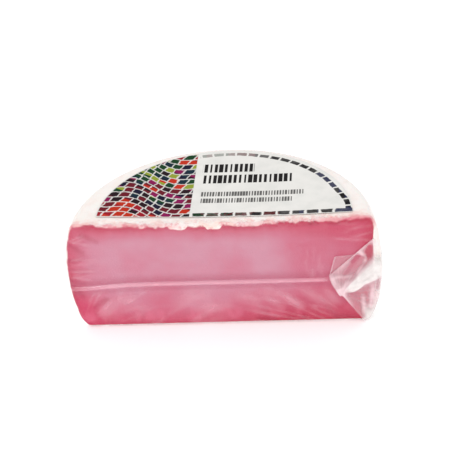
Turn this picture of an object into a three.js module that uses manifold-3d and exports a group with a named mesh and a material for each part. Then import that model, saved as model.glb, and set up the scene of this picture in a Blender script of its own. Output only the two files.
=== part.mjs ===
// Half a wheel of goat cheese, cut through its middle and sealed in tight clear film, with a half-round paper label.
// Millimetres, +Z up. +X runs to the right end of the cut face, +Y from the cut face to the round back.
// The origin lies in the flat base, on the wheel's middle line, midway between the film's front and the back.
import * as THREE from "three";
import { mergeVertices } from "three/addons/utils/BufferGeometryUtils.js";
import Module from "manifold-3d";

// The wheel
const WHEEL_RADIUS = 100;
const RIM_HEIGHT = 78;
const TOP_SAG = 2.4; // the top sinks this far from the rim to the middle
const WAIST_HEIGHT = 40; // where the bulging side is widest
const TOP_INSET = 8.5; // from the waist in to the flat of the top
const TOP_RADIUS = WHEEL_RADIUS - TOP_INSET;
const TOP_ROUNDNESS = 2.4; // exponent of the superellipse between waist and top
const BASE_INSET = 14;
const BASE_ROUNDNESS = 2.1;
const CUT_ROUNDING = 1.6; // the film rounds the edges of the cut
const CUT_ROUNDING_REACH = 6.4; // where the rounding fades out on the top and the side
const CUT_TO_ORIGIN = 48.7;
const SIDE_SWELL = 0.35; // hand-made unevenness of the side, each way
const CRUMB_HEIGHT = 0.3; // crumbly rind along the top of the cut
const CRUMB_FADE = [2.5, 6]; // how far behind the cut the crumbs die out
const CRUMB_END = [TOP_RADIUS - 12, TOP_RADIUS - 2]; // and how far out along it

// The film's long crease, which crosses the cut face and goes on round the back
const CREASE_HEIGHT = 32.7;
const CREASE_RISE = 1.2; // how far the pleat stands off the cut face
const CREASE_RISE_BACK = 0.5;
const CREASE_DROOP = 2.4; // how far it drops towards the left end
const CREASE_DROOP_START = -50;
const CREASE_END = [62, 69]; // on the cut face it runs out under the ear
// Section of the crease: height above its line and share of the rise, with a shallow groove above the pleat.
const CREASE_SECTION = [
  { above: 4.2, stand: 0 },
  { above: 2.2, stand: -0.25 },
  { above: 0.9, stand: 0.25 },
  { above: 0, stand: 1 },
  { above: -1.3, stand: 0.1 },
  { above: -3, stand: 0 },
];

// The ear: spare film drawn to a knot and pressed against the right end of the cut face. Places are [x, z].
const KNOT = [74, 22.2];
const EAR_TIP = [66.8, 36.2]; // where the long crease meets it
const EAR_TOP = [95.2, 63.4];
const EAR_FOOT = [88.4, 1.4];
const EAR_LAYER = [EAR_TIP, [82.6, 50.8], [70.6, 50.2]]; // corners of the thin layer above its folded edge
// Its right edge bulges round the corner of the cheese, from the foot up to the top.
const EAR_BULGE = [
  EAR_FOOT,
  [92.4, 3.2],
  [96, 12],
  [98.6, 22],
  [99.8, 33],
  [100, 43],
  [98.8, 54],
  EAR_TOP,
];
const EAR_LAYER_RISE = 0.6;
const EAR_SHEET = 0.9; // thickness of the pressed folds
const EAR_EDGE_DEPTH = 0.6; // how far its edges sink into the cut face
const EAR_WRAP = 16; // how far the bulging edge is drawn back round the side
const EAR_WRAP_START = [-4, 1]; // from how far outside the wheel the edge begins to wrap
const EAR_SINK = 0.8; // how deep the wrapped edge ends inside the side
const EAR_HEART = new THREE.Vector3(85, 3, 30); // a point well inside the cheese, behind the ear
const KNOT_RISE = 2;
const KNOT_RADIUS = 4.5;
// Its folds fan out from the knot: angles in degrees above +X, and the rise where each is fullest.
const EAR_FOLDS = [
  { toward: 118, spread: 20, rise: 1 },
  { toward: 84, spread: 14, rise: 0.7 },
  { toward: 62, spread: 9, rise: 1.2 },
  { toward: 40, spread: 18, rise: 4.2 },
  { toward: 14, spread: 8, rise: 1 },
  { toward: -6, spread: 9, rise: 1.5 },
  { toward: -27, spread: 9, rise: 1.2 },
  { toward: -55, spread: 13, rise: 1.2 },
];

// The label
const LABEL_RADIUS = 81;
const LABEL_CENTRE = [1.5, 9.2]; // x, and y behind the cut face
const LABEL_TURN = -1.1; // degrees
const LABEL_THICKNESS = 0.3;
const LABEL_GAP = 0.3;

// Steps of the faceted surfaces
const ARC_STEPS = 46;
const HALF_WIDTH_STEPS = 20;
const ROUNDING_STEPS = 8;
const EAR_BULGE_STEPS = 20;
const EAR_EDGE_STEPS = 14;
const EAR_RINGS = 9;
const LABEL_STEPS = 36;
const LABEL_RINGS = 5;
const SMALLEST_EDGE = 1e-3;

const { lerp, smoothstep, degToRad, radToDeg, clamp } = THREE.MathUtils;

// Height of the dished top at a distance from the wheel's axis.
function topHeight(distance) {
  return RIM_HEIGHT - TOP_SAG * (1 - (distance / TOP_RADIUS) ** 2);
}

// The wheel's radius at a height: superellipses from the waist up to the flat of the top and down to the base.
function radiusAt(height) {
  const above = height > WAIST_HEIGHT;
  const reach = above ? RIM_HEIGHT - WAIST_HEIGHT : WAIST_HEIGHT;
  const inset = above ? TOP_INSET : BASE_INSET;
  const roundness = above ? TOP_ROUNDNESS : BASE_ROUNDNESS;
  const share = Math.min(1, Math.abs(height - WAIST_HEIGHT) / reach);
  return WHEEL_RADIUS - inset + inset * (1 - share ** roundness) ** (1 / roundness);
}

// Heights that follow the rounding closely, from the waist out to the flat, which lies reach away.
function roundingHeights(reach, roundness) {
  const heights = [];
  for (let i = 1; i <= ROUNDING_STEPS; i++) {
    const angle = (i * Math.PI) / (2 * ROUNDING_STEPS);
    heights.push(WAIST_HEIGHT + reach * Math.sin(angle) ** (2 / roundness));
  }
  return heights;
}

// The rows of the side from the rim down to the base. Near the crease the section's own rows take over.
function sideRows() {
  const plain = [
    ...roundingHeights(RIM_HEIGHT - WAIST_HEIGHT, TOP_ROUNDNESS),
    WAIST_HEIGHT,
    ...roundingHeights(-WAIST_HEIGHT, BASE_ROUNDNESS),
  ];
  const highest = CREASE_HEIGHT + CREASE_SECTION[0].above;
  const lowest = CREASE_HEIGHT + CREASE_SECTION[CREASE_SECTION.length - 1].above;
  const rows = plain
    .filter((height) => height > highest + 1 || height < lowest - 1)
    .map((height) => ({ height, stand: 0 }));
  for (const { above, stand } of CREASE_SECTION) rows.push({ height: CREASE_HEIGHT + above, stand });
  rows.sort((a, b) => b.height - a.height);
  return rows.map((row) => ({ ...row, radius: radiusAt(row.height) }));
}

// Shares of the radius from -1 to 1, closer together at both ends for the cut's rounding.
function widthShares() {
  const rounding = CUT_ROUNDING / WHEEL_RADIUS;
  const half = [1, 1 - rounding / 3, 1 - rounding];
  for (let i = HALF_WIDTH_STEPS - 1; i > 0; i--) half.push(i / HALF_WIDTH_STEPS);
  return [...half.map((share) => -share), 0, ...half.reverse()];
}

// Angles round the side from the cut's right end to its left, closer together at both ends.
function arcAngles() {
  const step = Math.PI / ARC_STEPS;
  const even = Array.from({ length: ARC_STEPS + 1 }, (_, i) => i * step);
  const extra = [0.3 * step, 0.6 * step];
  return [...even, ...extra, ...extra.map((angle) => Math.PI - angle)].sort((a, b) => a - b);
}

// Height of a row at a place along X: the top is dished, and the crease droops to the left.
function rowHeight(row, x, top) {
  const crease = CREASE_HEIGHT - CREASE_DROOP * (1 - smoothstep(x, -WHEEL_RADIUS, CREASE_DROOP_START));
  return row.height >= CREASE_HEIGHT
    ? lerp(crease, top, (row.height - CREASE_HEIGHT) / (RIM_HEIGHT - CREASE_HEIGHT))
    : (crease * row.height) / CREASE_HEIGHT;
}

// Uneven swell of the side, none where it meets the cut face, the top or the base.
function sideSwell(angle, height) {
  const fade = Math.sqrt(Math.sin(angle)) * Math.sin((Math.PI * height) / RIM_HEIGHT);
  const waves = Math.sin(7 * angle + 0.09 * height) + Math.sin(12 * angle - 0.13 * height + 1.3);
  return SIDE_SWELL * fade * waves;
}

// Uneven height of the rind along the top of the cut, at a distance behind it.
function crumbs(x, behind) {
  const waves = Math.sin(0.21 * x + 1) + Math.sin(0.52 * x + 0.7 * behind) + 0.5 * Math.sin(0.33 * x - 0.9 * behind);
  const fade = 1 - smoothstep(behind, ...CRUMB_FADE);
  const inset = 1 - smoothstep(Math.abs(x), ...CRUMB_END);
  return CRUMB_HEIGHT * fade * inset * waves;
}

// Draws a point of the top or the side back from the cut, for the rounded edge.
function drawnBack(point) {
  point.y += CUT_ROUNDING * clamp(1 - point.y / CUT_ROUNDING_REACH, 0, 1);
  return point;
}

// A point of the top, on the line parallel to the cut that ends on the rim at this angle and its mirror image.
function topPoint(share, angle) {
  const x = share * TOP_RADIUS * Math.cos(angle);
  const y = TOP_RADIUS * Math.sin(angle);
  return drawnBack(new THREE.Vector3(x, y, topHeight(Math.hypot(x, y)) + crumbs(x, y)));
}

function sidePoint(row, angle) {
  const along = Math.sin(angle);
  const radius = row.radius + sideSwell(angle, row.height) + CREASE_RISE_BACK * row.stand * along;
  const x = radius * Math.cos(angle);
  return drawnBack(new THREE.Vector3(x, radius * along, rowHeight(row, x, RIM_HEIGHT)));
}

// A point of the cut face: share runs from -1 at the left edge to 1 at the right.
function cutPoint(row, share) {
  const x = share * row.radius;
  const top = topHeight(share * TOP_RADIUS) + crumbs(share * TOP_RADIUS, 0);
  const z = rowHeight(row, x, top);
  const toEdge = Math.min((1 - Math.abs(share)) * row.radius, top - z, z);
  const rounding = CUT_ROUNDING * clamp(1 - toEdge / CUT_ROUNDING, 0, 1) ** 2;
  const fade = (1 - share ** 6) * (1 - smoothstep(x, ...CREASE_END));
  return new THREE.Vector3(x, rounding - CREASE_RISE * row.stand * fade, z);
}

// Triangles of a grid of points. They face the reader where i runs right and j runs down.
function gridTriangles(across, down, pointAt) {
  const triangles = [];
  for (let i = 0; i < across; i++) {
    for (let j = 0; j < down; j++) {
      const a = pointAt(i, j);
      const b = pointAt(i + 1, j);
      const c = pointAt(i + 1, j + 1);
      const d = pointAt(i, j + 1);
      triangles.push([a, c, b], [a, d, c]);
    }
  }
  return triangles;
}

function turnedOver(triangles) {
  return triangles.map(([a, b, c]) => [a, c, b]);
}

// Joins the triangles at their corners and drops those that have collapsed to a line.
function closedGeometry(triangles) {
  const kept = triangles.filter(([a, b, c]) => {
    const shortest = Math.min(a.distanceTo(b), b.distanceTo(c), c.distanceTo(a));
    return shortest > SMALLEST_EDGE;
  });
  const positions = new Float32Array(kept.flat().flatMap((p) => [p.x, p.y, p.z]));
  const loose = new THREE.BufferGeometry();
  loose.setAttribute("position", new THREE.BufferAttribute(positions, 3));
  return mergeVertices(loose, SMALLEST_EDGE);
}

// The flat base, facing down, from its outline.
function baseTriangles(outline) {
  const flat = outline.map((p) => new THREE.Vector2(p.x, p.y));
  const triangles = THREE.ShapeUtils.triangulateShape(flat, []).map((corners) => corners.map((k) => outline[k]));
  const normal = new THREE.Vector3();
  return triangles.map(([a, b, c]) => (THREE.Triangle.getNormal(a, b, c, normal).z > 0 ? [a, c, b] : [a, b, c]));
}

function halfWheelGeometry() {
  const rows = sideRows();
  const shares = widthShares();
  const angles = arcAngles();
  const [down, across, round] = [rows.length, shares.length, angles.length].map((count) => count - 1);
  const top = gridTriangles(across, round / 2, (i, j) => topPoint(shares[i], angles[j]));
  const side = gridTriangles(round, down, (i, j) => sidePoint(rows[j], angles[i]));
  const cut = gridTriangles(across, down, (i, j) => cutPoint(rows[j], shares[i]));
  const outline = [];
  for (let i = 0; i < round; i++) outline.push(sidePoint(rows[down], angles[i]));
  for (let i = 0; i < across; i++) outline.push(cutPoint(rows[down], shares[i]));
  return closedGeometry([...turnedOver(top), ...side, ...cut, ...baseTriangles(outline)]);
}

// Points along the outline of the ear's folds, from the foot round the bulge to the top and down to the tip.
function earOutline() {
  const [top, tip] = [EAR_TOP, EAR_TIP].map(([x, z]) => new THREE.Vector2(x, z));
  const bulge = new THREE.SplineCurve(EAR_BULGE.map(([x, z]) => new THREE.Vector2(x, z)));
  const outline = bulge.getSpacedPoints(EAR_BULGE_STEPS);
  for (let i = 1; i <= EAR_EDGE_STEPS; i++) outline.push(top.clone().lerp(tip, i / EAR_EDGE_STEPS));
  return outline;
}

// How far the ear stands off the cut face, at a share of the way from the knot to its outline.
function earRise(place, share) {
  const from = place.clone().sub(new THREE.Vector2(...KNOT));
  const degrees = radToDeg(Math.atan2(from.y, from.x));
  let rise = EAR_SHEET + KNOT_RISE * clamp(1 - from.length() / KNOT_RADIUS, 0, 1) ** 2;
  for (const fold of EAR_FOLDS) {
    const off = clamp((degrees - fold.toward) / fold.spread, -1, 1);
    rise += fold.rise * Math.cos((off * Math.PI) / 2) ** 2 * share * (1 - 0.8 * share ** 4);
  }
  return rise;
}

// The ear's folds as one closed solid. The front fans out from the knot, the edge turns back into the cheese.
function earFoldsGeometry() {
  const outline = earOutline();
  const turns = outline.length - 1;
  const knot = new THREE.Vector2(...KNOT);
  const backPoint = ({ x, y: z }) => {
    const radius = radiusAt(z);
    const wrap = lerp(EAR_EDGE_DEPTH, EAR_WRAP, smoothstep(x - radius, ...EAR_WRAP_START));
    const inside = Math.sqrt(radius ** 2 - wrap ** 2) - EAR_SINK;
    return new THREE.Vector3(Math.min(x, inside), wrap, z);
  };
  const pointAt = (i, j) => {
    if (j > EAR_RINGS + 1) return EAR_HEART.clone();
    if (j > EAR_RINGS) return backPoint(outline[i]);
    const share = j / EAR_RINGS;
    const place = knot.clone().lerp(outline[i], share);
    return new THREE.Vector3(place.x, -earRise(place, share), place.y);
  };
  const fan = gridTriangles(turns, EAR_RINGS + 2, pointAt);
  // The fan's two straight ends are closed towards the heart.
  const endWall = (i) => {
    const wall = [];
    for (let j = 0; j <= EAR_RINGS; j++) wall.push([pointAt(i, j), EAR_HEART.clone(), pointAt(i, j + 1)]);
    return wall;
  };
  return closedGeometry([...fan, ...endWall(0), ...turnedOver(endWall(turns))]);
}

// The thin outer layer of the ear, a flat plate sunk into the cut face.
function earLayerGeometry() {
  const shape = new THREE.Shape(EAR_LAYER.map(([x, z]) => new THREE.Vector2(x, z)));
  const depth = EAR_LAYER_RISE + EAR_EDGE_DEPTH;
  const plate = new THREE.ExtrudeGeometry(shape, { depth, bevelEnabled: false });
  plate.rotateX(Math.PI / 2).translate(0, EAR_EDGE_DEPTH, 0);
  plate.deleteAttribute("normal").deleteAttribute("uv");
  return mergeVertices(plate, SMALLEST_EDGE);
}

// The label follows the dished top, LABEL_GAP above it.
function labelGeometry() {
  const [centreX, centreY] = LABEL_CENTRE;
  const pointAt = (i, j, lift) => {
    const angle = (Math.PI * i) / LABEL_STEPS + degToRad(LABEL_TURN);
    const reach = (LABEL_RADIUS * j) / LABEL_RINGS;
    const x = centreX + reach * Math.cos(angle);
    const y = centreY + reach * Math.sin(angle);
    return new THREE.Vector3(x, y, topHeight(Math.hypot(x, y)) + LABEL_GAP + lift);
  };
  const liftAt = (j) => (j === 0 ? LABEL_THICKNESS : 0);
  const upper = gridTriangles(LABEL_STEPS, LABEL_RINGS, (i, j) => pointAt(i, j, LABEL_THICKNESS));
  const lower = gridTriangles(LABEL_STEPS, LABEL_RINGS, (i, j) => pointAt(i, j, 0));
  const arc = gridTriangles(LABEL_STEPS, 1, (i, j) => pointAt(i, LABEL_RINGS, liftAt(j)));
  const straight = gridTriangles(2 * LABEL_RINGS, 1, (i, j) => {
    const ring = i - LABEL_RINGS;
    return pointAt(ring < 0 ? LABEL_STEPS : 0, Math.abs(ring), liftAt(j));
  });
  return closedGeometry([...upper, ...turnedOver(lower), ...arc, ...straight]);
}

const wasm = await Module();
wasm.setup();

function solidOf(geometry) {
  return new wasm.Manifold(
    new wasm.Mesh({
      numProp: 3,
      vertProperties: geometry.getAttribute("position").array,
      triVerts: new Uint32Array(geometry.index.array),
    }),
  );
}

function geometryOf(solid) {
  const mesh = solid.getMesh();
  const geometry = new THREE.BufferGeometry();
  geometry.setAttribute("position", new THREE.BufferAttribute(mesh.vertProperties, 3));
  geometry.setIndex(new THREE.BufferAttribute(mesh.triVerts, 1));
  geometry.computeVertexNormals();
  return geometry;
}

const part = new THREE.Group();

const ear = solidOf(earFoldsGeometry()).add(solidOf(earLayerGeometry()));
const cheese = new THREE.Mesh(
  geometryOf(solidOf(halfWheelGeometry()).add(ear)),
  new THREE.MeshStandardMaterial({ color: 0xd8809b, roughness: 0.25, metalness: 0 }),
);
cheese.name = "wrapped_half_wheel";
part.add(cheese);

const label = new THREE.Mesh(
  labelGeometry(),
  new THREE.MeshStandardMaterial({ color: 0xf0ece4, roughness: 0.6, metalness: 0 }),
);
label.name = "label";
part.add(label);

part.children.forEach((mesh) => mesh.position.setY(-CUT_TO_ORIGIN));

export default part;
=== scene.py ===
import math
import random

import bpy
from mathutils import Matrix, Vector, noise


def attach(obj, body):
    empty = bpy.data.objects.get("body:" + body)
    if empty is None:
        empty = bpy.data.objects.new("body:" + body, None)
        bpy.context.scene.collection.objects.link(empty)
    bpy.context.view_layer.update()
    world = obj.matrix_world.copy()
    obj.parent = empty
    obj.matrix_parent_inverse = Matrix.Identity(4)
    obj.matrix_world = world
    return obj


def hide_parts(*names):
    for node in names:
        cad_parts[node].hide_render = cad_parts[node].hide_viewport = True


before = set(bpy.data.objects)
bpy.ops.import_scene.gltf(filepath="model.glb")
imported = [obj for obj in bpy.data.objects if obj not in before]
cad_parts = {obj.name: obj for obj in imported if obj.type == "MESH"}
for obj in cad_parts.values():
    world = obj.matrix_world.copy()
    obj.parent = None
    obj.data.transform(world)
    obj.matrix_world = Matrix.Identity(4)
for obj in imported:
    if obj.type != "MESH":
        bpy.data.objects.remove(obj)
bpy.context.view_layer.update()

# Lengths are in millimetres, in the wheel's own frame: x along the cut face to its right end, y back from
# the cut and z up. MM and CUT_Y take them to the frame of the part.
MM = 0.001
CUT_Y = -48.7

# The wheel
WHEEL_RADIUS = 100
RIM_HEIGHT = 78
TOP_SAG = 2.4  # the top sinks this far from the rim to the middle
WAIST_HEIGHT = 40  # where the bulging side is widest
TOP_INSET = 8.5  # from the waist in to the flat of the top
TOP_RADIUS = WHEEL_RADIUS - TOP_INSET
TOP_ROUNDNESS = 2.4  # exponent of the superellipse between waist and top
BASE_INSET = 14
BASE_ROUNDNESS = 2.1
CUT_ROUNDING = 2.2  # the edges of the cut are drawn this far back
CUT_ROUNDING_REACH = 9  # where the rounding fades out on the top and the side
RELIEF_START = 3  # the relief of the cut is full from this far inside its edges
SIDE_SWELL = 0.35  # unevenness of the side
CRUMB_WAVES = 0.3  # unevenness of the rind along the top of the cut, in slow waves
CRUMB_GRAIN = 0.8  # and in fine grain
CRUMB_FADE = (3.5, 7.5)  # how far behind the cut the crumbs die out
CRUMB_END = (TOP_RADIUS - 12, TOP_RADIUS - 2)  # and how far out along it
CRUMB_DEPTH = 0.12  # share of the way to the back over which there may be crumbs

# The left end of the cut is a little fuller than the round wheel.
FOOT_FULLNESS = 1.9
FOOT_TOP = 17  # where the fullness of the foot runs out
SHOULDER_FULLNESS = 0.8
SHOULDER_HEIGHT = 51
SHOULDER_SPREAD = 12
FULLNESS_START = 0.8  # share of the way out to the left end where it sets in
FULLNESS_FADE = (5, 60)  # how far behind the cut it dies out

# The film and its long crease
FILM_GAP = 0.25  # between the cheese and the film drawn over it
CREASE_HEIGHT = 32.7
CREASE_RISE = 1.3  # how far the pleat stands off the cut
CREASE_RISE_BACK = 0.5  # and off the side
CREASE_DROOP = 2.4  # how far it drops towards the left end
CREASE_DROOP_START = -50
CREASE_END = (62, 69)  # on the cut it runs out under the ear
CREASE_PLEAT = (0.5, 1.7)  # half widths of the pleat's crest and of its foot
GROOVE_HEIGHT = 2.4  # of the shallow groove, above the crease
GROOVE_WIDTH = 1.1
GROOVE_SHARE = 0.15  # its depth, as a share of the rise

# The ear of spare film: places on the cut face are (x, z)
KNOT = (74, 22.2)
EAR_TIP = (66.8, 36.2)
EAR_TOP = (95.2, 63.4)
EAR_FOOT = (88.4, 1.4)
# Its right edge bulges round the corner of the cheese, from the foot up to the top.
EAR_BULGE = (EAR_FOOT, (92.4, 3.2), (96, 12), (98.6, 22), (99.8, 33), (100, 43), (98.8, 54), EAR_TOP)
# Its left edge runs from the tip down past the knot.
EAR_LEFT = (
    (67, 34.3),
    (67.5, 32.3),
    (68.2, 30.2),
    (69.1, 28),
    (70.2, 25.8),
    (71.5, 23.6),
    (72.7, 21.6),
    (73.9, 19.8),
)
EAR_THICKNESS = 0.9  # of the pressed folds
KNOT_RISE = 2
KNOT_RADIUS = 4.5
EAR_WRAP = 18  # how far the bulging edge is drawn back round the side
EAR_WRAP_START = (-3.5, 0)  # how far outside the wheel the edge is where it begins to wrap, and wraps in full
EAR_WRAP_GAP = 0.3  # between the wrapped edge and the film
LAYER_CORNERS = ((70.5, 50.3), (84.5, 51.6), EAR_TIP)  # of the thin layer above the ear's folded edge
LAYER_GAP = 0.55  # how far the layer lies off the cut
LAYER_HEM = 0.7  # width of the hems along its left and upper edges

# The label
LABEL_RADIUS = 81
LABEL_CENTRE = (1.5, 9.2)  # the middle of its straight edge, in x and y
LABEL_TURN = math.radians(-1.1)
LABEL_THICKNESS = 0.15
LABEL_GAP = 0.12
LABEL_SWELL = 0.12  # unevenness of how it lies

# The label's print: x to the right and y back, from the middle of its straight edge
PRINT_EDGE = (-21.3, -21.8)  # the right side of the courses of tiles, from bare to printed
COURSE_HEIGHT = 6
COURSE_GAP = 0.14  # share of a course between it and the next
TILE_LENGTH = 6.4
TILE_GAP = 0.13
BORDER_START = -20.4  # where the border's straight run begins
BORDER_ARC = (LABEL_RADIUS - 3.6, LABEL_RADIUS - 0.2)
BORDER_STRAIGHT = (0.6, 4.6)
BORDER_GAP = 0.18
BORDER_ARC_PITCH = 8.2
BORDER_STRAIGHT_PITCH = 9
# Bars: sides in x, sides in y, pitch of the ribs, seed and darkness
BARS = (
    ((-17, 17), (54, 64), 3.3, 2.5, 1),
    ((-17, 42.5), (40.5, 50.5), 3.3, 5.5, 1),
    ((-16.5, 50.5), (24.6, 30), 1.8, 7.5, 0.85),
    ((-16, 43), (16.6, 22), 1.8, 9.5, 0.85),
)

# Steps of the meshes: across, back and up
CHEESE_STEPS = (120, 52, 74)
FILM_STEPS = (160, 60, 132)
LABEL_STEPS = (96, 44, 1)
OUTLINE_STEPS = 900  # either way from the waist
EAR_RAYS = 110
EAR_BULGE_RAYS = 68
EAR_RINGS = 46
EAR_WRAP_RINGS = 14
LAYER_STEPS = 20
WELD_REACH = 0.02  # points nearer to each other than this are joined
ON_CUT = 1e-4  # points of a block no further back than this share lie on the cut
ON_SIDE = 0.999  # and those further out than this share on the round side
SMOOTH_ANGLE = math.radians(60)  # edges sharper than this stay sharp
LABEL_SMOOTH_ANGLE = math.radians(40)

# The studio, in metres and watts
FLOOR_SIZE = 6
FLOOR_GLOW = 0.15
SKY_STRENGTH = 0.92
LAMP_TARGET = Vector((0, 0, 0.04))
# Lamps: name, azimuth and elevation in degrees, distance, size and power
LAMPS = (
    ("key", -30, 40, 1.2, 0.35, 2.6),
    ("fill", 50, 30, 1.4, 0.5, 1.3),
)

# The camera, where it stood for the photograph
CAMERA_AZIMUTH = math.radians(4.81)
CAMERA_ELEVATION = math.radians(31.61)
CAMERA_ROLL = math.radians(-4.21)
CAMERA_DISTANCE = 999
CAMERA_TARGET = (0.32, 40, 49.99)
PHOTO_PIXELS = 452  # width of the photograph
FOCAL_PIXELS = 1527.84  # focal length in the same pixels
SENSOR_WIDTH = 36
CLIP_START = 0.01  # metres
CLIP_END = 20


# ---- small helpers ----


def mix(a, b, share):
    return a + (b - a) * share


def clamp(value, low=0, high=1):
    return max(low, min(high, value))


def ramp(value, low, high):
    """Rises softly from 0 at low to 1 at high."""
    share = clamp((value - low) / (high - low))
    return share * share * (3 - 2 * share)


def tone(red, green, blue):
    """A colour as it is read off a screen, 0 to 255, made linear for a shader."""
    linear = [((c / 255 + 0.055) / 1.055) ** 2.4 if c > 10 else c / 3295 for c in (red, green, blue)]
    return (*linear, 1)


def to_frame(x, y, z):
    """A place in the wheel's frame, in millimetres, as a place in the part's frame, in metres."""
    return Vector((x, y + CUT_Y, z)) * MM


def direction(azimuth, elevation):
    """Away from the object: azimuth 0 is in front of the cut, a quarter turn is to its right."""
    level = math.cos(elevation)
    return Vector((math.sin(azimuth) * level, -math.cos(azimuth) * level, math.sin(elevation)))


def select_only(piece):
    bpy.ops.object.select_all(action="DESELECT")
    piece.select_set(True)
    bpy.context.view_layer.objects.active = piece


def start_edit(piece):
    select_only(piece)
    bpy.ops.object.mode_set(mode="EDIT")


def end_edit():
    bpy.ops.object.mode_set(mode="OBJECT")


def grid(name, columns, rows, size=1):
    """A flat square grid of quads round the origin."""
    bpy.ops.object.select_all(action="DESELECT")
    bpy.ops.mesh.primitive_grid_add(x_subdivisions=columns, y_subdivisions=rows, size=size)
    piece = bpy.context.object
    piece.name = piece.data.name = name
    return piece


def weld(piece):
    """Joins the points of a piece that lie together."""
    start_edit(piece)
    bpy.ops.mesh.select_all(action="SELECT")
    bpy.ops.mesh.remove_doubles(threshold=WELD_REACH * MM)
    end_edit()


def face_out(piece):
    """Turns the faces of a piece outwards."""
    start_edit(piece)
    bpy.ops.mesh.select_all(action="SELECT")
    bpy.ops.mesh.normals_make_consistent(inside=False)
    end_edit()


def smooth(piece, angle=SMOOTH_ANGLE):
    """Shades a piece smooth, apart from edges sharper than the angle."""
    select_only(piece)
    bpy.ops.object.shade_smooth_by_angle(angle=angle)


def store(piece, name, values):
    """Keeps one number for each point of a piece, which its finish reads."""
    piece.data.attributes.new(name, "FLOAT", "POINT").data.foreach_set("value", values)


# ---- shader writing ----


class Wire:
    """A value that runs through a material. Arithmetic on it adds Math nodes."""

    def __init__(self, finish, socket):
        self.finish = finish
        self.socket = socket

    def maths(self, operation, *values, use_clamp=False):
        settings = {"operation": operation, "use_clamp": use_clamp}
        return self.finish.node("Math", settings, dict(enumerate(values)))

    def __add__(self, other):
        return self.maths("ADD", self, other)

    __radd__ = __add__

    def __sub__(self, other):
        return self.maths("SUBTRACT", self, other)

    def __rsub__(self, other):
        return self.maths("SUBTRACT", other, self)

    def __mul__(self, other):
        return self.maths("MULTIPLY", self, other)

    __rmul__ = __mul__

    def __truediv__(self, other):
        return self.maths("DIVIDE", self, other)

    def __rtruediv__(self, other):
        return self.maths("DIVIDE", other, self)

    def __pow__(self, other):
        return self.maths("POWER", self, other)

    def __rpow__(self, other):
        return self.maths("POWER", other, self)

    def whole(self):
        return self.maths("FLOOR", self)

    def part(self):
        return self.maths("FRACT", self)

    def size(self):
        """The value without its sign."""
        return self.maths("ABSOLUTE", self)

    def sine(self):
        return self.maths("SINE", self)

    def least(self, other):
        return self.maths("MINIMUM", self, other)

    def most(self, other):
        return self.maths("MAXIMUM", self, other)

    def clamped(self):
        return self.maths("ADD", self, 0, use_clamp=True)

    def between(self, low, high):
        """Rises softly from 0 at low to 1 at high. low may be above high."""
        settings = {"interpolation_type": "SMOOTHSTEP"}
        return self.finish.node("MapRange", settings, {"Value": self, "From Min": low, "From Max": high})

    def band(self, low, high, soft=0.2):
        """1 from low to high, with soft edges."""
        return self.between(low - soft, low + soft) * self.between(high + soft, high - soft)

    def cell(self, gap, soft=0.05):
        """1 inside each whole step of the value, 0 in the gaps between them."""
        half = 0.5 - gap / 2
        return (self.part() - 0.5).size().between(half + soft, half - soft)


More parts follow.
